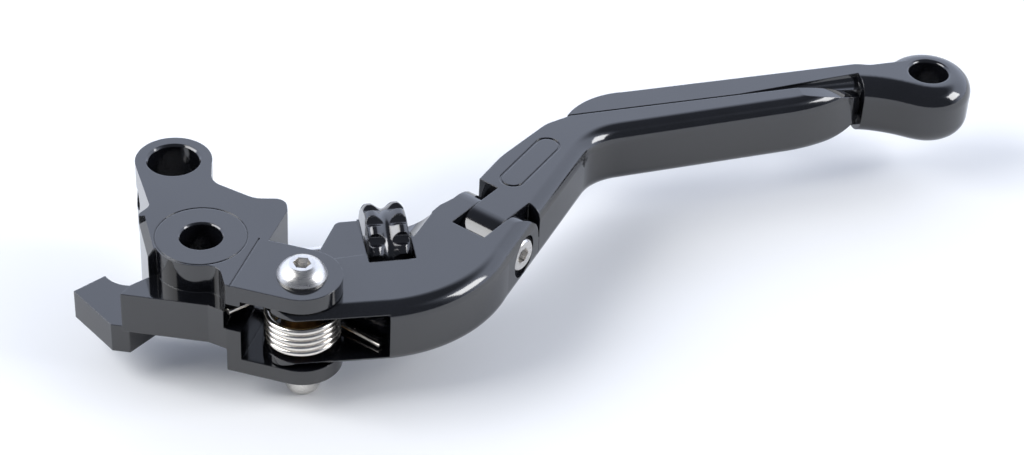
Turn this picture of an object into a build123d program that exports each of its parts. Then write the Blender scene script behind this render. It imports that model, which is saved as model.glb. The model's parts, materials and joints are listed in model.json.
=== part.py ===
from build123d import *
from math import cos, pi, radians, sin
import os

# Folding, extendable clutch lever with a rolling reach adjuster. Millimetres, +Z up.
# Origin: pivot bore axis, half way up the base bracket. +X runs along the straight grip.

# Heights, all centred on Z = 0 except the body round the bores, whose top is flush with the clevis
base_height = 20.4
lever_height = 13.4
ear_clearance = 0.2
body_height = 16.0
arm_top = 3.8
arm_bottom = -5.1
tip_top = -3.9

# Pivot and push-rod eye
pivot_bore_radius = 4.0
boss_radius = 9.0
eye_bore_radius = 5.0
eye_radius = 7.5
eye_center = (-1.0, 25.1)
rod_hole_radius = 2.6
relief_width = 1.2
relief_depth = 1.8

# Reach hinge: clevis on the base, rolled end of the knuckle inside it
hinge_at = (16.1, -15.4)
clevis_angle = -32.0
clevis_radius = 7.6
stop_distance = 9.4
web_thickness = 2.8
knuckle_end_radius = 7.5
hinge_screw_radius = 2.5
sleeve_radius = 4.0
running_gap = 0.05

# Torsion spring round the sleeve, resting on the floor of the knuckle's window
window_height = 10.0
spring_wire = 1.25
spring_outer_radius = 7.3
spring_pitch = 1.27
spring_whole_turns = 5
upper_leg_angle = 205.0
upper_leg_length = 12.2
lower_leg_angle = -50.7
lower_leg_length = 13.4
notch_depth = 7.2
notch_floor = -0.3
notch_top = 5.7

# Fold hinge between knuckle and blade
fold_at = (53.94, 3.62)
fold_angle = 37.5
tongue_near = 0.6
tongue_width = 7.5
tongue_side_gap = 0.15
tongue_radius = lever_height / 2
tongue_end_gap = 0.7
shoulder_distance = 7.2
shoulder_gap = 0.15
fold_screw_radius = 2.5
fold_bush_radius = 3.75
fold_seat = 10.6
fold_head_radius = 3.4
fold_head_height = 1.9
fold_counterbore_radius = 4.3
fold_back = -3.6

# Adjuster wheel and its push screw
wheel_at = (35.3, -0.6, 1.2)
wheel_angle = -4.5
wheel_radius = 9.5
wheel_width = 7.8
wheel_teeth = 14
washer_thickness = 0.5
wheel_end_play = 0.1
push_screw_radius = 2.0
push_tip_gap = 0.25
push_reach = 2.0
wheel_slot_front = 9.95

# Blade, slide rail and extension
rail_back = 28.4
slide_gap = 0.1
extension_depth = 6.0
rail_start = 84.5
rail_end = 138.0
rail_neck = 4.0
rail_head = 6.4
rail_neck_depth = 2.0
rail_head_depth = 1.5
slide_travel = 20.0
stop_pin_x = 90.0
stop_pin_radius = 1.0
lock_screw_x = (104.0, 124.0)
lock_screw_radius = 1.5
ball_center = (160.7, 28.5)
ball_radius = 9.4
ball_hole_radius = 4.1

top = base_height / 2
lever_top = lever_height / 2
ear_inside = lever_top + ear_clearance
hinge_plane = Plane(origin=(*hinge_at, 0), x_dir=Vector(1, 0, 0).rotate(Axis.Z, clevis_angle), z_dir=(0, 0, 1))
fold_plane = Plane(origin=(*fold_at, 0), x_dir=Vector(1, 0, 0).rotate(Axis.Z, fold_angle), z_dir=(0, 0, 1))
fold_side = Plane(origin=fold_plane.origin, x_dir=fold_plane.x_dir, z_dir=-fold_plane.y_dir)
wheel_dir = Vector(1, 0, 0).rotate(Axis.Z, wheel_angle)
wheel_side = Plane(origin=wheel_at, x_dir=Vector(0, 1, 0).rotate(Axis.Z, wheel_angle), z_dir=wheel_dir)


def plan(plane, x, y):
    """World plan point of a point given in a local plane."""
    point = plane.from_local_coords(Vector(x, y, 0))
    return (point.X, point.Y)


def save(piece, name):
    piece.part.label = name
    export_step(piece.part, "parts/" + name + ".step")


def near(shapes, x, y, z=0.0):
    """The shape whose centre is nearest to a point."""
    return sorted(shapes, key=lambda s: (s.center() - Vector(x, y, z)).length)[0]


def corner(sketch, x, y):
    return sorted(sketch.vertices(), key=lambda v: (Vector(v.X, v.Y) - Vector(x, y)).length)[0]


def rims(piece, radius):
    """The full circular edges of one radius."""
    circles = piece.edges().filter_by(GeomType.CIRCLE)
    return circles.filter_by(lambda e: e.is_closed and abs(e.radius - radius) < 0.01)


def front_edges(piece, lines):
    """The top and bottom edges of a lever piece that stand over the given outline lines."""
    middles = [line @ 0.5 for line in lines]
    return [near(piece.edges(), m.X, m.Y, z) for m in middles for z in (lever_top, -lever_top)]


os.makedirs("parts", exist_ok=True)

# Base bracket ------------------------------------------------------------------

wall_front = plan(hinge_plane, -stop_distance, -clevis_radius)
clevis_corner = plan(hinge_plane, -stop_distance - web_thickness, -clevis_radius)
wall_length = 17.5
wall_back = plan(hinge_plane, -stop_distance, wall_length)
eye_x, eye_y = eye_center
body_left = -10.4
body_points = [
    (eye_x - eye_radius, eye_y),
    (-7.85, 11.3),
    (body_left, 9.2),
    (body_left, -2.0),
    (clevis_corner[0], -2.0),
    clevis_corner,
    wall_front,
    wall_back,
    (17.9, 8.1),
    (12.0, 9.5),
    (4.9, 16.6),
    (eye_x + eye_radius, eye_y),
]

with BuildSketch() as body_outline:
    with BuildLine():
        Polyline(*body_points, close=True)
    make_face()
    fillet(corner(body_outline, 17.9, 8.1), 2.4)
    fillet(corner(body_outline, 12.0, 9.5), 5.0)
    fillet(corner(body_outline, 4.9, 16.6), 4.0)
    fillet(corner(body_outline, -7.85, 11.3), 1.8)
    fillet(corner(body_outline, body_left, 9.2), 1.5)
    Circle(boss_radius)
    with Locations(eye_center):
        Circle(eye_radius)
    fillet(corner(body_outline, clevis_corner[0], -boss_radius), 3.0)

# Only the clevis and its stop wall reach the bottom
lower_corners = ((-1, -2 * clevis_radius), (1, -2 * clevis_radius), (1, wall_length), (-1, wall_length))
with BuildSketch() as lower_region:
    with BuildLine():
        Polyline(*[plan(hinge_plane, side * (stop_distance + web_thickness), y) for side, y in lower_corners],
                 close=True)
    make_face()

with BuildSketch() as arm_outline:
    with BuildLine():
        Polyline((-16.4, -6.1), (-1.2, -12.75), clevis_corner, (4, -4), (-4, 2), (body_left, 0.5),
                 (body_left, -2.2), (-12.3, -3.0), (-14.2, -3.9), close=True)
    make_face()

with BuildSketch() as tip_outline:
    with BuildLine():
        tip_front = Polyline((-17.3, 9.6), (-23.8, 6.2), (-18.4, -5.2), (-15.2, -6.55), (-9.4, -2.3),
                             (-9.4, 5.4), (-10.6, 5.6))
        ThreePointArc(tip_front @ 1, (-14.4, 6.1), tip_front @ 0)
    make_face()

with BuildPart() as base_bracket:
    with BuildSketch(Plane.XY.offset(top - body_height)):
        add(body_outline.sketch)
    extrude(amount=body_height)
    with BuildSketch(Plane.XY.offset(-top)):
        add(body_outline.sketch)
        add(lower_region.sketch, mode=Mode.INTERSECT)
    extrude(amount=base_height - body_height)
    # Sloping relief along the left edge of the top face
    with BuildSketch(Plane(origin=(body_left, 8.4, top), x_dir=(1, 0, 0), z_dir=(0, -1, 0))):
        with BuildLine():
            Polyline((0, 0), (relief_width, 0), (0, -relief_depth), close=True)
        make_face()
    extrude(amount=12.0, mode=Mode.SUBTRACT)
    with BuildSketch(Plane.XY.offset(arm_bottom)):
        add(arm_outline.sketch)
    extrude(amount=arm_top - arm_bottom)
    with BuildSketch(Plane.XY.offset(-top)):
        add(tip_outline.sketch)
    extrude(amount=tip_top + top)
    # Two ears with a rounded end about the reach hinge
    for ear_bottom in (ear_inside, -top):
        with BuildSketch(hinge_plane.offset(ear_bottom)):
            with Locations((-stop_distance / 2, 0)):
                Rectangle(stop_distance, 2 * clevis_radius)
            Circle(clevis_radius)
        extrude(amount=top - ear_inside)
    # Notch in the web for the upper leg of the spring
    with BuildSketch(hinge_plane.offset(notch_floor)):
        with Locations((-stop_distance - web_thickness / 2 - 0.3, -clevis_radius + notch_depth / 2 - 1)):
            Rectangle(web_thickness + 0.6, notch_depth + 2)
    extrude(amount=notch_top - notch_floor, mode=Mode.SUBTRACT)
    # Bores
    with BuildSketch(Plane.XY.offset(-top)):
        Circle(pivot_bore_radius)
        with Locations(eye_center):
            Circle(eye_bore_radius)
        with Locations(hinge_at):
            Circle(hinge_screw_radius + running_gap)
    extrude(amount=base_height, mode=Mode.SUBTRACT)
    with BuildSketch(Plane(origin=(-12, eye_y, top - body_height / 2), x_dir=(0, 1, 0), z_dir=(1, 0, 0))):
        Circle(rod_hole_radius)
    extrude(amount=12 + eye_x, mode=Mode.SUBTRACT)
    chamfer(rims(base_bracket, eye_bore_radius), 0.4)
    chamfer(rims(base_bracket, pivot_bore_radius), 0.3)
    # Turned ring line round the boss
    with BuildSketch(Plane.XY.offset(top - 0.15)):
        Circle(boss_radius - 0.15)
        Circle(boss_radius - 0.4, mode=Mode.SUBTRACT)
    extrude(amount=0.3, mode=Mode.SUBTRACT)
    # Milled line where the clevis face starts
    with BuildSketch(hinge_plane.offset(top - 0.2)):
        with Locations((-stop_distance - web_thickness + 0.9, 0)):
            Rectangle(0.35, 2 * clevis_radius)
    extrude(amount=0.4, mode=Mode.SUBTRACT)
save(base_bracket, "base_bracket")

# Reach hinge hardware ----------------------------------------------------------

head_radius = 4.75
head_height = 2.75
hex_across = 3.0
nut_hex_height = 2.7
nut_across_flats = 8.0
nut_radius = 3.5
nut_dome = 4.1
nut_dome_round = 1.8
screw_past_hex = 1.5

with BuildPart() as clevis_screw:
    with BuildSketch(hinge_plane.offset(-top - nut_hex_height - screw_past_hex)):
        Circle(hinge_screw_radius)
    extrude(amount=base_height + nut_hex_height + screw_past_hex)
    with BuildSketch(Plane(origin=(*hinge_at, top), x_dir=(1, 0, 0), z_dir=(0, -1, 0))):
        with BuildLine():
            Line((0, 0), (head_radius, 0))
            Line((head_radius, 0), (head_radius, 0.35))
            ThreePointArc((head_radius, 0.35), (head_radius * 0.77, head_height * 0.72), (hex_across * 0.8, head_height))
            Line((hex_across * 0.8, head_height), (0, head_height))
            Line((0, head_height), (0, 0))
        make_face()
    revolve(axis=Axis((*hinge_at, 0), (0, 0, 1)))
    with BuildSketch(hinge_plane.offset(top + head_height)):
        RegularPolygon(hex_across / 2, 6, major_radius=False, rotation=12)
    extrude(amount=-1.9, mode=Mode.SUBTRACT)
save(clevis_screw, "clevis_screw")

with BuildPart() as clevis_nut:
    with BuildSketch(hinge_plane.offset(-top)):
        RegularPolygon(nut_across_flats / 2, 6, major_radius=False)
    extrude(amount=-nut_hex_height)
    with BuildSketch(hinge_plane.offset(-top - nut_hex_height)):
        Circle(nut_radius)
    extrude(amount=-nut_dome)
    fillet(clevis_nut.faces().sort_by(Axis.Z)[0].edges(), nut_dome_round)
    with BuildSketch(hinge_plane.offset(-top)):
        Circle(hinge_screw_radius)
    extrude(amount=-nut_hex_height - screw_past_hex, mode=Mode.SUBTRACT)
save(clevis_nut, "clevis_nut")

with BuildPart() as pivot_sleeve:
    with BuildSketch(hinge_plane.offset(-ear_inside)):
        Circle(sleeve_radius)
        Circle(hinge_screw_radius + running_gap, mode=Mode.SUBTRACT)
    extrude(amount=2 * ear_inside)
save(pivot_sleeve, "pivot_sleeve")

# Torsion spring: one leg in the web notch of the base, the other in the knuckle window
coil_start = lower_leg_angle + 90
spring_turns = spring_whole_turns + (upper_leg_angle - 90 - coil_start) / 360
coil_radius = spring_outer_radius - spring_wire / 2
coil_height = spring_turns * spring_pitch
with BuildPart() as torsion_spring:
    with BuildLine():
        coil = Helix(spring_pitch, coil_height, coil_radius)
    with BuildSketch(Plane(origin=coil @ 0, z_dir=coil % 0)):
        Circle(spring_wire / 2)
    sweep(path=coil)
    for end, away, length in ((0, -1, lower_leg_length), (1, 1, upper_leg_length)):
        with BuildSketch(Plane(origin=coil @ end, z_dir=(coil % end) * away)):
            Circle(spring_wire / 2)
        extrude(amount=length)
leg_drop = lower_leg_length * spring_pitch / (2 * pi * coil_radius)
coil_bottom = leg_drop + spring_wire / 2 + running_gap - window_height / 2
torsion_spring.part = Pos(*hinge_at, coil_bottom) * torsion_spring.part.rotate(Axis.Z, coil_start)
save(torsion_spring, "torsion_spring")

# Knuckle -----------------------------------------------------------------------

window_right = 30.8
front_start = (31.2, -24.7)
front_middle = (46.0, -21.6)
front_end = (57.0, -12.2)
front_angle = 50.5
cheek_end = shoulder_distance - shoulder_gap
edge_radius = 3.0
back_cheek_side = 4.0
tongue_far = tongue_near + tongue_width

front_dir = Vector(1, 0, 0).rotate(Axis.Z, front_angle)


def front_wall_at(g):
    """Plan point of the straight front wall at a distance g past the fold axis."""
    start = fold_plane.to_local_coords(Vector(*front_end, 0))
    along = fold_plane.to_local_coords(Vector(*front_end, 0) + front_dir) - start
    step = (g - start.X) / along.X
    return plan(fold_plane, g, start.Y + along.Y * step)


back_tangent = plan(hinge_plane, -1.0, 4.0)
wheel_right = 44.9
slope_top = (47.5, 4.5)

with BuildSketch() as knuckle_outline:
    with BuildLine():
        edge_a = Line((hinge_at[0] - 1.1, hinge_at[1] - knuckle_end_radius), front_start)
        edge_b = ThreePointArc(front_start, front_middle, front_end)
        edge_c = Line(front_end, front_wall_at(cheek_end))
        edge_d = Polyline(edge_c @ 1, plan(fold_plane, cheek_end, back_cheek_side),
                          plan(fold_plane, -1.2, back_cheek_side), slope_top, (wheel_right, 2.3),
                          (26.6, 3.6), back_tangent, edge_a @ 0)
    make_face()
    fillet(corner(knuckle_outline, 26.6, 3.6), 1.6)
    with Locations(hinge_at):
        Circle(knuckle_end_radius)

step_depth = 0.3
step_right = 30.6
step_front = -7.6
scoop_start = (40.2, -4.2)
scoop_end = (45.6, 2.6)
scoop_chord = Vector(*scoop_end) - Vector(*scoop_start)
scoop_length = scoop_chord.length
scoop_along = scoop_chord.normalized()
scoop_in = Vector(0, 0, 1).cross(scoop_along)
slot_half = wheel_width / 2 + wheel_end_play + washer_thickness
pin_offset = 4.2
pin_radius = 0.9
detent_ball_radius = 1.5
detent_depth = 9.0

with BuildPart() as knuckle:
    with BuildSketch(Plane.XY.offset(-lever_top)):
        add(knuckle_outline.sketch)
    extrude(amount=lever_height)
    fillet(front_edges(knuckle, (edge_b, edge_c)), edge_radius)
    # Window for the spring and the clevis web
    with BuildSketch(hinge_plane.offset(-window_height / 2)):
        Circle(stop_distance - 0.6)
    extrude(amount=window_height, mode=Mode.SUBTRACT)
    with BuildSketch(Plane.XY.offset(-window_height / 2)):
        with BuildLine():
            Polyline((14.0, -30.0), (window_right, -30.0), (window_right, -19.5), (25.0, -13.0),
                     (14.0, -13.0), close=True)
        make_face()
    extrude(amount=window_height, mode=Mode.SUBTRACT)
    # Bores for the hinge sleeve
    with BuildSketch(hinge_plane.offset(-lever_top)):
        Circle(sleeve_radius + running_gap)
    extrude(amount=lever_height, mode=Mode.SUBTRACT)
    # Shallow milled step between the clevis and the wheel
    with BuildSketch(Plane.XY.offset(lever_top - step_depth)):
        with Locations((step_right - 10, step_front + 10)):
            Rectangle(20, 20)
    extrude(amount=1.0, mode=Mode.SUBTRACT)
    # Hollow for the thumb beside the wheel
    with BuildSketch(Plane(origin=(*scoop_start, lever_top), x_dir=scoop_in, z_dir=scoop_along)):
        with BuildLine():
            scoop_arc = ThreePointArc((0, 0), (2.6, -2.2), (6.5, -3.3))
            Polyline(scoop_arc @ 1, (6.5, 1), (0, 1), scoop_arc @ 0)
        make_face()
    extrude(amount=scoop_length, mode=Mode.SUBTRACT)
    # Slot for the adjuster wheel, open to the back
    with BuildSketch(wheel_side.offset(-slot_half)):
        with Locations((10.0 - wheel_slot_front, 0)):
            Rectangle(20.0, 3 * lever_height)
    extrude(amount=2 * slot_half, mode=Mode.SUBTRACT)
    # Guide bores for the push screw, flat at the bottom so that it can't turn
    with BuildSketch(wheel_side.offset(-slot_half)):
        Circle(push_screw_radius + running_gap)
        with Locations((0, -2 * push_screw_radius + 0.55)):
            Rectangle(6, 2 * push_screw_radius - 2 * running_gap, mode=Mode.SUBTRACT)
    extrude(amount=-20, mode=Mode.SUBTRACT)
    with BuildSketch(wheel_side.offset(slot_half)):
        Circle(push_screw_radius + running_gap)
    extrude(amount=5.0, mode=Mode.SUBTRACT)
    # Blind bore for the wheel's click pin
    with BuildSketch(wheel_side.offset(slot_half)):
        with Locations((pin_offset, 0)):
            Circle(pin_radius + running_gap)
    extrude(amount=9.0, mode=Mode.SUBTRACT)
    # Slot for the tongue
    with BuildSketch(fold_side.offset(tongue_near - tongue_side_gap)):
        with Locations((15 - tongue_radius - tongue_end_gap, 0)):
            Rectangle(30, 2 * lever_height)
    extrude(amount=tongue_width + 2 * tongue_side_gap, mode=Mode.SUBTRACT)
    # Upper half of both cheeks rolled about the fold axis
    with BuildSketch(fold_side.offset(-15)):
        with Locations((10, 10)):
            Rectangle(20, 20)
        Circle(tongue_radius, mode=Mode.SUBTRACT)
    extrude(amount=45, mode=Mode.SUBTRACT)
    # Fold screw: counterbore, clearance through the front cheek, thread in the back cheek
    with BuildSketch(fold_side.offset(fold_seat)):
        Circle(fold_counterbore_radius)
    extrude(amount=10, mode=Mode.SUBTRACT)
    with BuildSketch(fold_side.offset(fold_back)):
        Circle(fold_screw_radius)
    extrude(amount=fold_seat - fold_back, mode=Mode.SUBTRACT)
    # Blind bore for the fold detent
    with BuildSketch(Plane(origin=plan(fold_plane, -tongue_radius - tongue_end_gap, -tongue_near - tongue_width / 2) + (0,),
                           x_dir=(0, 0, 1), z_dir=-fold_plane.x_dir)):
        Circle(detent_ball_radius + running_gap)
    extrude(amount=detent_depth, mode=Mode.SUBTRACT)
save(knuckle, "knuckle")

with BuildPart() as fold_screw:
    with BuildSketch(fold_side.offset(fold_seat)):
        Circle(fold_head_radius)
    extrude(amount=fold_head_height)
    with BuildSketch(fold_side.offset(fold_back)):
        Circle(fold_screw_radius)
    extrude(amount=fold_seat - fold_back)
    with BuildSketch(fold_side.offset(fold_seat + fold_head_height)):
        RegularPolygon(hex_across / 2, 6, major_radius=False)
    extrude(amount=-1.4, mode=Mode.SUBTRACT)
    chamfer(rims(fold_screw, fold_head_radius).sort_by(Axis(fold_side.origin, fold_side.z_dir))[-1], 0.4)
save(fold_screw, "fold_screw")

with BuildPart() as fold_detent_ball:
    with Locations(fold_plane.from_local_coords(Vector(-tongue_radius - 0.1 - detent_ball_radius, -tongue_near - tongue_width / 2, 0))):
        Sphere(detent_ball_radius)
save(fold_detent_ball, "fold_detent_ball")

detent_spring_length = detent_depth - 2 * detent_ball_radius + tongue_end_gap - 0.3
detent_spring_wire = 0.5
with BuildPart() as fold_detent_spring:
    with BuildLine():
        detent_coil = Helix(1.0, detent_spring_length - 1.2, detent_ball_radius - 0.35)
    with BuildSketch(Plane(origin=detent_coil @ 0, z_dir=detent_coil % 0)):
        Circle(detent_spring_wire / 2)
    sweep(path=detent_coil)
spring_seat = Plane(origin=fold_plane.from_local_coords(
    Vector(-tongue_radius - tongue_end_gap - detent_depth + 0.4, -tongue_near - tongue_width / 2, 0)),
    x_dir=(0, 0, 1), z_dir=fold_plane.x_dir)
fold_detent_spring.part = spring_seat.location * fold_detent_spring.part
save(fold_detent_spring, "fold_detent_spring")

# Adjuster wheel, washers, click pin and push screw --------------------------------

flute_radius = 1.35
insert_radius = push_screw_radius + running_gap + 1.0
crown_edge = 8.6
crown_valley = 8.3
crown_ridge_at = 2.2
crown_clear = 2.0
with BuildPart() as adjuster_wheel:
    with BuildSketch(wheel_side.offset(-wheel_width / 2)):
        Circle(wheel_radius)
        with PolarLocations(wheel_radius + 0.35, wheel_teeth):
            Circle(flute_radius, mode=Mode.SUBTRACT)
        Circle(insert_radius, mode=Mode.SUBTRACT)
    extrude(amount=wheel_width)
    # Crown of two rounded rings with a valley between them
    with BuildSketch(Plane(origin=wheel_at, x_dir=wheel_side.x_dir, z_dir=wheel_side.y_dir)):
        with BuildLine():
            crown = Spline((crown_edge, -wheel_width / 2), (wheel_radius, -crown_ridge_at), (crown_valley, 0),
                           (wheel_radius, crown_ridge_at), (crown_edge, wheel_width / 2))
            Polyline(crown @ 1, (crown_edge, wheel_width), (wheel_radius + crown_clear, wheel_width),
                     (wheel_radius + crown_clear, -wheel_width), (crown_edge, -wheel_width), crown @ 0)
        make_face()
    revolve(axis=Axis(wheel_at, wheel_dir), mode=Mode.SUBTRACT)
    with BuildSketch(wheel_side.offset(wheel_width / 2)):
        with PolarLocations(pin_offset + 0.3, 6, start_angle=0):
            Circle(pin_radius)
    extrude(amount=-0.5, mode=Mode.SUBTRACT)
save(adjuster_wheel, "adjuster_wheel")

with BuildPart() as wheel_insert:
    with BuildSketch(wheel_side.offset(-wheel_width / 2)):
        Circle(insert_radius)
        Circle(push_screw_radius + running_gap, mode=Mode.SUBTRACT)
    extrude(amount=wheel_width)
save(wheel_insert, "wheel_insert")

for name, side in (("wheel_washer_left", -slot_half), ("wheel_washer_right", slot_half - washer_thickness)):
    with BuildPart() as wheel_washer:
        with BuildSketch(wheel_side.offset(side)):
            Circle(3.3)
            Circle(push_screw_radius + running_gap, mode=Mode.SUBTRACT)
        extrude(amount=washer_thickness)
    save(wheel_washer, name)

wall_distance = (wheel_side.origin - hinge_plane.origin).dot(hinge_plane.x_dir) + stop_distance
wall_slope = wheel_dir.dot(hinge_plane.x_dir)
tip_center = (wall_distance - push_screw_radius - push_tip_gap) / wall_slope
with BuildPart() as push_screw:
    with BuildSketch(wheel_side.offset(-tip_center + 1.0)):
        Circle(push_screw_radius)
        with Locations((0, -2 * push_screw_radius + 0.55)):
            Rectangle(6, 2 * push_screw_radius, mode=Mode.SUBTRACT)
    extrude(amount=tip_center - 1.0 + slot_half + push_reach)
save(push_screw, "push_screw")

with BuildPart() as push_tip:
    with BuildSketch(Plane(origin=wheel_side.origin - wheel_dir * tip_center, x_dir=wheel_side.x_dir, z_dir=wheel_side.y_dir)):
        with BuildLine():
            Polyline((0, push_screw_radius), (0, -1.0), (push_screw_radius, -1.0), (push_screw_radius, 0))
            RadiusArc((push_screw_radius, 0), (0, push_screw_radius), -push_screw_radius)
        make_face()
    revolve(axis=Axis(wheel_side.origin, wheel_dir))
save(push_tip, "push_tip")

with BuildPart() as click_pin:
    with BuildSketch(wheel_side.offset(wheel_width / 2 + 0.3)):
        with Locations((pin_offset, 0)):
            Circle(pin_radius)
    extrude(amount=slot_half - wheel_width / 2 - 0.3 + 4.5)
    fillet(click_pin.edges().sort_by(Axis(wheel_at, wheel_dir))[0], 0.5)
save(click_pin, "click_pin")

with BuildPart() as click_spring:
    with BuildLine():
        click_coil = Helix(0.75, 3.3, pin_radius - 0.25)
    with BuildSketch(Plane(origin=click_coil @ 0, z_dir=click_coil % 0)):
        Circle(0.15)
    sweep(path=click_coil)
click_seat = wheel_side.offset(slot_half + 5.2).location * Location((pin_offset, 0, 0))
click_spring.part = click_seat * click_spring.part
save(click_spring, "click_spring")

# Blade: tongue of the fold hinge, finger section and the rail for the extension ---------

bend_radius = 12.0
finger_front_start = (90.0, 21.3)
finger_front_end = (127.0, 22.7)
blade_tip_front = (138.5, 24.7)
blade_tip = (145.2, 27.7)
tip_slope_start = 131.0
tip_half_height = 2.6
oval_center = (68.6, 14.6)
oval_angle = 44.0
oval_length = 19.0
oval_width = 5.4
oval_line = 0.5
shoulder_front = front_wall_at(shoulder_distance)
finger_dir = (Vector(*finger_front_end) - Vector(*finger_front_start)).normalized()
wall_start = Vector(*shoulder_front)
bend_steps = (Vector(*finger_front_start) - wall_start).cross(finger_dir).Z / front_dir.cross(finger_dir).Z
bend_point = wall_start + front_dir * bend_steps

with BuildSketch() as blade_outline:
    with BuildLine():
        blade_front = Line(shoulder_front, (bend_point.X, bend_point.Y))
        finger_front = Line((bend_point.X, bend_point.Y), finger_front_end)
        tip_curve = ThreePointArc(finger_front_end, blade_tip_front, blade_tip)
        Polyline(blade_tip, (blade_tip[0], rail_back), (81.0, rail_back), (75.4, 26.6), (63.4, 17.6),
                 plan(fold_plane, shoulder_distance, back_cheek_side), shoulder_front)
    make_face()
    fillet(corner(blade_outline, bend_point.X, bend_point.Y), bend_radius)
    fillet(corner(blade_outline, 63.4, 17.6), 20.0)
    fillet(corner(blade_outline, 75.4, 26.6), 8.0)

with BuildPart() as blade:
    with BuildSketch(Plane.XY.offset(-lever_top)):
        add(blade_outline.sketch)
    extrude(amount=lever_height)
    fillet(front_edges(blade, (blade_front, finger_front)), edge_radius)
    # The finger end slopes away above and below
    with BuildSketch(Plane(origin=(0, 0, 0), x_dir=(1, 0, 0), z_dir=(0, -1, 0))):
        with BuildLine():
            slope = ThreePointArc((tip_slope_start, lever_top), (139.0, lever_top - 1.5), (blade_tip[0] + 0.5, tip_half_height))
            Polyline(slope @ 1, (150.0, tip_half_height), (150.0, 10.0), (tip_slope_start, 10.0), slope @ 0)
        make_face()
        mirror(about=Plane.XZ)
    extrude(amount=-60, mode=Mode.SUBTRACT)
    # Plain engraved oval on the slanting part of the top
    with BuildSketch(Plane.XY.offset(lever_top - 0.25)):
        with Locations(Location((*oval_center, 0), (0, 0, oval_angle))):
            SlotOverall(oval_length, oval_width)
            SlotOverall(oval_length - 2 * oval_line, oval_width - 2 * oval_line, mode=Mode.SUBTRACT)
    extrude(amount=1.0, mode=Mode.SUBTRACT)
    # Tongue rolled about the fold axis
    with BuildSketch(fold_side.offset(tongue_near)):
        Circle(tongue_radius)
        with Locations(((shoulder_distance + 1.0) / 2, 0)):
            Rectangle(shoulder_distance + 1.0, lever_height)
    extrude(amount=tongue_width)
    with BuildSketch(fold_side.offset(tongue_near)):
        Circle(fold_bush_radius)
    extrude(amount=tongue_width, mode=Mode.SUBTRACT)
    # Dimple for the fold detent ball
    with Locations(fold_plane.from_local_coords(
            Vector(-tongue_radius - 0.1 - detent_ball_radius, -tongue_near - tongue_width / 2, 0))):
        Sphere(detent_ball_radius + 0.35, mode=Mode.SUBTRACT)
    # T-shaped rail behind the finger section
    with BuildSketch(Plane.YZ.offset(rail_start)):
        with Locations((rail_back + rail_neck_depth / 2 - 0.5, 0)):
            Rectangle(rail_neck_depth + 1.0, rail_neck)
        with Locations((rail_back + rail_neck_depth + rail_head_depth / 2, 0)):
            Rectangle(rail_head_depth, rail_head)
    extrude(amount=rail_end - rail_start)
    # Groove in the rail head for the stop pin
    with BuildSketch(Plane.XZ.offset(-rail_back - rail_neck_depth - rail_head_depth)):
        with Locations((stop_pin_x + slide_travel / 2, 0)):
            SlotCenterToCenter(slide_travel, 2 * (stop_pin_radius + slide_gap))
    extrude(amount=1.0, mode=Mode.SUBTRACT)
save(blade, "blade")

for name, near_end in (("fold_bush_near", tongue_near - 0.05), ("fold_bush_far", tongue_far - 3.7 + 0.05)):
    with BuildPart() as fold_bush:
        with BuildSketch(fold_side.offset(near_end)):
            Circle(fold_bush_radius)
            Circle(fold_screw_radius + running_gap, mode=Mode.SUBTRACT)
        extrude(amount=3.7)
    save(fold_bush, name)

# Extension ---------------------------------------------------------------------------

bar_front = rail_back + slide_gap
bar_back = rail_back + extension_depth
neck_x = 145.6
neck_front = 26.3
neck_round = 4.2
seam_round = 0.25
seam_round_end = 118.0
bar_round = 2.5
front_join_angle = 245.0
neck_back = 33.4
ball_x, ball_y = ball_center


def on_ball(angle):
    """Plan point on the rim of the end ball."""
    return (ball_x + ball_radius * cos(radians(angle)), ball_y + ball_radius * sin(radians(angle)))


with BuildSketch() as bar_outline:
    with BuildLine():
        ThreePointArc((80.4, bar_front), (85.0, bar_back - 2.0), (94.5, bar_back))
        Polyline((94.5, bar_back), (neck_x, bar_back), (neck_x, bar_front), (80.4, bar_front))
    make_face()

with BuildSketch() as end_outline:
    with BuildLine():
        front_join = on_ball(front_join_angle)
        front_slope = (-sin(radians(front_join_angle)), cos(radians(front_join_angle)))
        neck_curve = Spline((neck_x, neck_front), (149.0, 24.9), (152.5, 22.8), front_join,
                            tangents=((1, -0.3), front_slope))
        Polyline(front_join, ball_center, (ball_x - 1.7, neck_back), (150.0, neck_back))
        Spline((150.0, neck_back), (neck_x, bar_back), tangents=((-1, 0), (-1, 0)))
        Line((neck_x, bar_back), (neck_x, neck_front))
    make_face()

with BuildPart() as end_piece:
    with BuildSketch(Plane.XY.offset(-lever_top)):
        add(end_outline.sketch)
    extrude(amount=lever_height)
    fillet(front_edges(end_piece, (neck_curve,)), neck_round)

with BuildPart() as end_ball:
    with BuildSketch(Plane.XY.offset(-lever_top)):
        with Locations(ball_center):
            Circle(ball_radius)
    extrude(amount=lever_height)
    fillet(rims(end_ball, ball_radius), neck_round)

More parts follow.
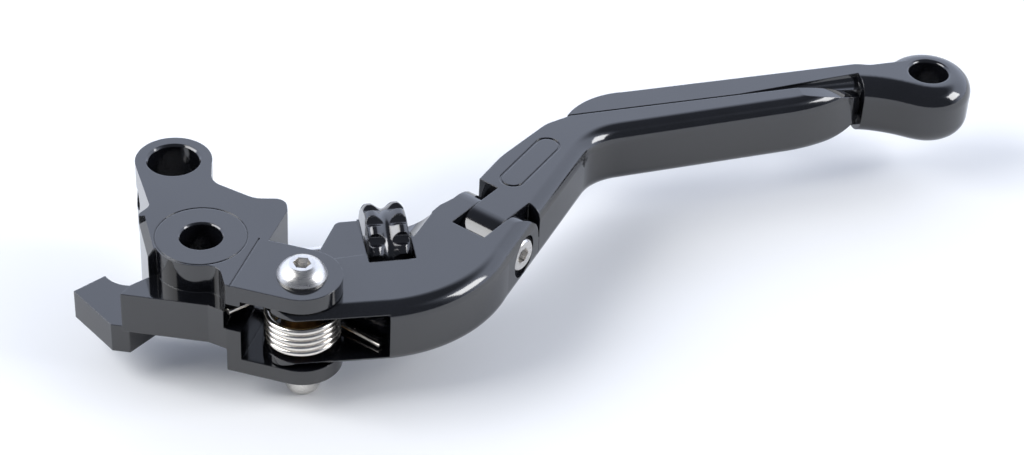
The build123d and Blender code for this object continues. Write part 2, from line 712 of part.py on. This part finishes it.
with BuildPart() as extension:
    with BuildSketch(Plane.XY.offset(-lever_top)):
        add(bar_outline.sketch)
    extrude(amount=lever_height)
    # The front edges start nearly sharp and grow rounder towards the neck
    for side in (1, -1):
        for start, end, start_round, end_round in ((80.0, seam_round_end, seam_round, seam_round),
                                                   (seam_round_end, neck_x, seam_round, bar_round)):
            for x, size in ((start, start_round), (end, end_round)):
                with BuildSketch(Plane.YZ.offset(x)):
                    with BuildLine():
                        rounding = RadiusArc((bar_front + size, side * lever_top),
                                             (bar_front, side * (lever_top - size)), side * size)
                        Polyline(rounding @ 1, (bar_front - 1, side * (lever_top - size)),
                                 (bar_front - 1, side * (lever_top + 1)),
                                 (bar_front + size, side * (lever_top + 1)), rounding @ 0)
                    make_face()
            loft(mode=Mode.SUBTRACT)
    add(end_piece.part)
    add(end_ball.part)
    with BuildSketch(Plane.XY.offset(-lever_top)):
        with Locations(ball_center):
            Circle(ball_hole_radius)
    extrude(amount=lever_height, mode=Mode.SUBTRACT)
    fillet(rims(extension, ball_hole_radius), 0.7)
    # T-shaped groove, open at the left end
    with BuildSketch(Plane.YZ.offset(80.0)):
        with Locations((rail_back + rail_neck_depth / 2 - 0.5, 0)):
            Rectangle(rail_neck_depth + 1.0, rail_neck + 2 * slide_gap)
        with Locations((rail_back + rail_neck_depth + rail_head_depth / 2, 0)):
            Rectangle(rail_head_depth + 2 * slide_gap, rail_head + 2 * slide_gap)
    extrude(amount=rail_end + slide_gap - 80.0, mode=Mode.SUBTRACT)
    with BuildSketch(Plane.XZ.offset(-bar_back - 1)):
        with Locations((stop_pin_x, 0)):
            Circle(stop_pin_radius)
        with Locations(*[(x, 0) for x in lock_screw_x]):
            Circle(lock_screw_radius)
    extrude(amount=4.0, mode=Mode.SUBTRACT)
save(extension, "extension")

rail_face = rail_back + rail_neck_depth + rail_head_depth
with BuildPart() as stop_pin:
    with BuildSketch(Plane.XZ.offset(-bar_back)):
        with Locations((stop_pin_x, 0)):
            Circle(stop_pin_radius)
    extrude(amount=bar_back - rail_face + 0.8)
save(stop_pin, "stop_pin")

with BuildPart() as lock_screws:
    with BuildSketch(Plane.XZ.offset(-bar_back + 0.2)):
        with Locations(*[(x, 0) for x in lock_screw_x]):
            Circle(lock_screw_radius)
    extrude(amount=bar_back - 0.2 - rail_face - slide_gap)
    with BuildSketch(Plane.XZ.offset(-bar_back + 0.2)):
        with Locations(*[(x, 0) for x in lock_screw_x]):
            RegularPolygon(0.75, 6, major_radius=False)
    extrude(amount=1.2, mode=Mode.SUBTRACT)
save(lock_screws, "lock_screws")
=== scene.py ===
import json
import math

import bpy
from mathutils import Matrix, Vector


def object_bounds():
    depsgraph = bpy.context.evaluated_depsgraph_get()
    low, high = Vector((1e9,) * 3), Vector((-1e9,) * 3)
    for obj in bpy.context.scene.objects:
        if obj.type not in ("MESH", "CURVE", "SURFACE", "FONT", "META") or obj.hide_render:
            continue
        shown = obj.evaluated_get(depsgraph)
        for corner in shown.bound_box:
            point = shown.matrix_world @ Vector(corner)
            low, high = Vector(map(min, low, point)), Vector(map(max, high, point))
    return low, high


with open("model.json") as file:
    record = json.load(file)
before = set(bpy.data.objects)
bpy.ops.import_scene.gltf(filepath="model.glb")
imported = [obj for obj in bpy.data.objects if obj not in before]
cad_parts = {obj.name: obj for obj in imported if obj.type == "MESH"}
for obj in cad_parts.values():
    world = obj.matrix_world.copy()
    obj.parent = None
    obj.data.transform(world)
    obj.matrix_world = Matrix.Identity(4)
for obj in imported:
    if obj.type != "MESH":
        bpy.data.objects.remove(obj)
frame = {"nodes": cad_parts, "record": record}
cad_box = [list(corner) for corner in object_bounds()]
record = frame["record"]
floor_height = cad_box[0][2]

# Where the camera stood, in metres, and how it was tilted
CAMERA_AT = Vector((-0.05566, -0.36991, 0.29804))
CAMERA_HEADING = math.radians(17.5)
CAMERA_DOWN = math.radians(37.32)
CAMERA_ROLL = math.radians(3.24)
LENS = 87.8

# Two square softboxes: where each stands seen from the object, its side in metres, its watts
MIDDLE = Vector((0.07, 0.0, 0.0))
BOX_DISTANCE = 0.95
LEFT_TOWARD = (-0.78, 0.10, 0.66)
LEFT_SIDE = 0.62
LEFT_POWER = 7.0
RIGHT_TOWARD = (0.85, -0.36, 0.52)
RIGHT_SIDE = 0.42
RIGHT_POWER = 4.8

# The surround's strength on the bright wall and elsewhere, and how far the wall reaches
WALL_LIGHT = 1.5
ROOM_LIGHT = 0.18
ROOM_COLOR = (0.80, 0.88, 1.08, 1)
WALL_SIDES = (-0.55, 0.1)
WALL_TOP = (0.64, 0.86)

# Table
FLOOR_SIDES = 64
FLOOR_RADIUS = 3.0


def add_camera():
    """The camera at the photograph's angle; nothing else in the scene depends on it."""
    right = Vector((math.cos(CAMERA_HEADING), -math.sin(CAMERA_HEADING), 0))
    level = Vector((math.sin(CAMERA_HEADING), math.cos(CAMERA_HEADING), 0))
    ahead = level * math.cos(CAMERA_DOWN) - Vector((0, 0, 1)) * math.sin(CAMERA_DOWN)
    up = right.cross(ahead)
    x_axis = right * math.cos(CAMERA_ROLL) + up * math.sin(CAMERA_ROLL)
    y_axis = up * math.cos(CAMERA_ROLL) - right * math.sin(CAMERA_ROLL)
    data = bpy.data.cameras.new("camera")
    data.lens = LENS
    data.clip_start = 0.01
    camera = bpy.data.objects.new("camera", data)
    turn = Matrix((x_axis, y_axis, -ahead)).transposed().to_4x4()
    camera.matrix_world = Matrix.Translation(CAMERA_AT) @ turn
    bpy.context.collection.objects.link(camera)
    bpy.context.scene.camera = camera


# Materials -------------------------------------------------------------------------


class Nodes:
    """Builds one node material with short calls."""

    def __init__(self, name):
        self.material = bpy.data.materials.new(name)
        self.material.use_nodes = True
        self.tree = self.material.node_tree
        self.shader = self.tree.nodes["Principled BSDF"]

    def add(self, kind):
        return self.tree.nodes.new(kind)

    def link(self, source, target):
        self.tree.links.new(source, target)

    def coordinates(self, scale):
        where = self.add("ShaderNodeTexCoord")
        mapping = self.add("ShaderNodeMapping")
        mapping.inputs["Scale"].default_value = scale
        self.link(where.outputs["Object"], mapping.inputs["Vector"])
        return mapping.outputs["Vector"]

    def noise(self, scale, detail=2.0, stretch=(1, 1, 1), roughness=0.5):
        node = self.add("ShaderNodeTexNoise")
        node.inputs["Scale"].default_value = scale
        node.inputs["Detail"].default_value = detail
        node.inputs["Roughness"].default_value = roughness
        self.link(self.coordinates(stretch), node.inputs["Vector"])
        return node.outputs["Fac"]

    def spread(self, source, low, high, from_low=0.3, from_high=0.7):
        node = self.add("ShaderNodeMapRange")
        node.inputs["From Min"].default_value = from_low
        node.inputs["From Max"].default_value = from_high
        node.inputs["To Min"].default_value = low
        node.inputs["To Max"].default_value = high
        self.link(source, node.inputs["Value"])
        return node.outputs["Result"]

    def bump(self, height, strength, distance, normal=None):
        node = self.add("ShaderNodeBump")
        node.inputs["Strength"].default_value = strength
        node.inputs["Distance"].default_value = distance
        self.link(height, node.inputs["Height"])
        if normal is not None:
            self.link(normal, node.inputs["Normal"])
        return node.outputs["Normal"]

    def bevel(self, radius):
        node = self.add("ShaderNodeBevel")
        node.samples = 4
        node.inputs["Radius"].default_value = radius
        return node.outputs["Normal"]

    def between(self, factor, first, second):
        node = self.add("ShaderNodeMix")
        node.data_type = "RGBA"
        node.inputs["A"].default_value = (*first, 1)
        node.inputs["B"].default_value = (*second, 1)
        self.link(factor, node.inputs["Factor"])
        return node.outputs["Result"]


def anodised():
    """Bright black anodising over milled aluminium: fine tool marks, thin handling marks."""
    m = Nodes("black_anodised")
    m.shader.inputs["IOR"].default_value = 1.75
    m.shader.inputs["Metallic"].default_value = 0.0
    tone = m.noise(90, 3)
    color = m.between(m.spread(tone, 0, 1), (0.0035, 0.0037, 0.0048), (0.0065, 0.007, 0.009))
    m.link(color, m.shader.inputs["Base Color"])
    streaks = m.noise(260, 4, (0.25, 6, 1), 0.6)
    m.link(m.spread(streaks, 0.06, 0.12), m.shader.inputs["Roughness"])
    normal = m.bevel(0.0003)
    normal = m.bump(m.noise(900, 2, (0.2, 5, 1)), 0.05, 0.00001, normal)
    normal = m.bump(m.noise(2600, 2), 0.05, 0.000005, normal)
    m.link(normal, m.shader.inputs["Normal"])
    return m.material


def stainless(name, color, low, high):
    """Turned stainless steel, a little warm, with fine turning lines."""
    m = Nodes(name)
    m.shader.inputs["Metallic"].default_value = 1.0
    tone = m.noise(300, 3)
    darker = tuple(c * 0.86 for c in color)
    m.link(m.between(m.spread(tone, 0, 1), darker, color), m.shader.inputs["Base Color"])
    m.link(m.spread(m.noise(700, 3, (1, 1, 8)), low, high), m.shader.inputs["Roughness"])
    normal = m.bump(m.noise(1800, 2, (1, 1, 6)), 0.15, 0.00001, m.bevel(0.00012))
    m.link(normal, m.shader.inputs["Normal"])
    return m.material


def bronze():
    """Plain bearing bronze, slightly uneven in tone."""
    m = Nodes("bronze")
    m.shader.inputs["Metallic"].default_value = 1.0
    color = m.between(m.spread(m.noise(500, 4), 0, 1), (0.42, 0.27, 0.12), (0.62, 0.42, 0.2))
    m.link(color, m.shader.inputs["Base Color"])
    m.link(m.spread(m.noise(900, 2), 0.3, 0.45), m.shader.inputs["Roughness"])
    m.link(m.bump(m.noise(2500, 2), 0.2, 0.00001), m.shader.inputs["Normal"])
    return m.material


def nylon():
    """Natural nylon, off-white and a little translucent."""
    m = Nodes("nylon")
    m.shader.inputs["Subsurface Weight"].default_value = 0.15
    m.shader.inputs["Subsurface Radius"].default_value = (0.001, 0.0009, 0.0008)
    color = m.between(m.spread(m.noise(400, 3), 0, 1), (0.78, 0.76, 0.7), (0.86, 0.85, 0.8))
    m.link(color, m.shader.inputs["Base Color"])
    m.link(m.spread(m.noise(800, 2), 0.42, 0.55), m.shader.inputs["Roughness"])
    m.link(m.bump(m.noise(2000, 2), 0.15, 0.00001), m.shader.inputs["Normal"])
    return m.material


def paper():
    """Matt white paper, the surface of the table."""
    m = Nodes("paper")
    m.shader.inputs["Roughness"].default_value = 0.9
    m.link(m.between(m.noise(30, 2), (0.88, 0.88, 0.87), (0.90, 0.90, 0.89)), m.shader.inputs["Base Color"])
    return m.material


FINISHES = {
    "black_anodised": anodised(),
    "stainless": stainless("stainless", (0.72, 0.70, 0.67), 0.22, 0.36),
    "spring_steel": stainless("spring_steel", (0.78, 0.74, 0.68), 0.16, 0.28),
    "bronze": bronze(),
    "nylon": nylon(),
}


def finish_cad_nodes():
    """Each CAD piece gets the detailed material of its slot."""
    for part in record["subparts"]:
        piece = frame["nodes"][part["node"]]
        if not piece.material_slots:
            piece.data.materials.append(None)
        for material_slot in piece.material_slots:
            material_slot.material = FINISHES[part["material_slot"]]


# Stage -----------------------------------------------------------------------------

BACK = Vector((math.sin(CAMERA_HEADING), math.cos(CAMERA_HEADING), 0))


def add_stage():
    """A wide pale table under the object."""
    turns = [2 * math.pi * i / FLOOR_SIDES for i in range(FLOOR_SIDES)]
    rim = [(FLOOR_RADIUS * math.cos(turn), FLOOR_RADIUS * math.sin(turn)) for turn in turns]
    mesh = bpy.data.meshes.new("floor")
    mesh.from_pydata([(x + MIDDLE.x, y, floor_height) for x, y in rim], [], [list(range(FLOOR_SIDES))])
    floor = bpy.data.objects.new("floor", mesh)
    floor.data.materials.append(paper())
    bpy.context.collection.objects.link(floor)


def add_softbox(name, toward, side, power):
    """An area light that looks at the middle of the object from the direction given."""
    direction = Vector(toward).normalized()
    data = bpy.data.lights.new(name, "AREA")
    data.shape = "RECTANGLE"
    data.size = data.size_y = side
    data.energy = power
    light = bpy.data.objects.new(name, data)
    light.location = MIDDLE + direction * BOX_DISTANCE
    light.rotation_euler = direction.to_track_quat("Z", "Y").to_euler()
    bpy.context.collection.objects.link(light)


def add_surround():
    """A dim room with one bright wall behind the object, brightest near the table."""
    world = bpy.data.worlds.new("surround")
    world.use_nodes = True
    tree = world.node_tree
    background = tree.nodes["Background"]
    background.inputs["Color"].default_value = ROOM_COLOR
    where = tree.nodes.new("ShaderNodeTexCoord")
    facing = tree.nodes.new("ShaderNodeVectorMath")
    facing.operation = "DOT_PRODUCT"
    facing.inputs[1].default_value = BACK
    height = tree.nodes.new("ShaderNodeSeparateXYZ")
    tree.links.new(where.outputs["Generated"], facing.inputs[0])
    tree.links.new(where.outputs["Generated"], height.inputs[0])
    ranges = []
    for source, (low, high), first, last in ((facing.outputs["Value"], WALL_SIDES, 0.0, 1.0),
                                             (height.outputs["Z"], WALL_TOP, 1.0, 0.0)):
        node = tree.nodes.new("ShaderNodeMapRange")
        node.interpolation_type = "SMOOTHSTEP"
        for socket, value in (("From Min", low), ("From Max", high), ("To Min", first), ("To Max", last)):
            node.inputs[socket].default_value = value
        tree.links.new(source, node.inputs["Value"])
        ranges.append(node.outputs["Result"])
    wall = tree.nodes.new("ShaderNodeMath")
    wall.operation = "MULTIPLY"
    tree.links.new(ranges[0], wall.inputs[0])
    tree.links.new(ranges[1], wall.inputs[1])
    total = tree.nodes.new("ShaderNodeMath")
    total.operation = "MULTIPLY_ADD"
    total.inputs[1].default_value = WALL_LIGHT
    total.inputs[2].default_value = ROOM_LIGHT
    tree.links.new(wall.outputs[0], total.inputs[0])
    tree.links.new(total.outputs[0], background.inputs["Strength"])
    bpy.context.scene.world = world


def add_lights():
    add_surround()
    add_softbox("left box", LEFT_TOWARD, LEFT_SIDE, LEFT_POWER)
    add_softbox("right box", RIGHT_TOWARD, RIGHT_SIDE, RIGHT_POWER)
    bpy.context.scene.view_settings.view_transform = "Standard"


add_camera()
add_stage()
add_lights()
finish_cad_nodes()
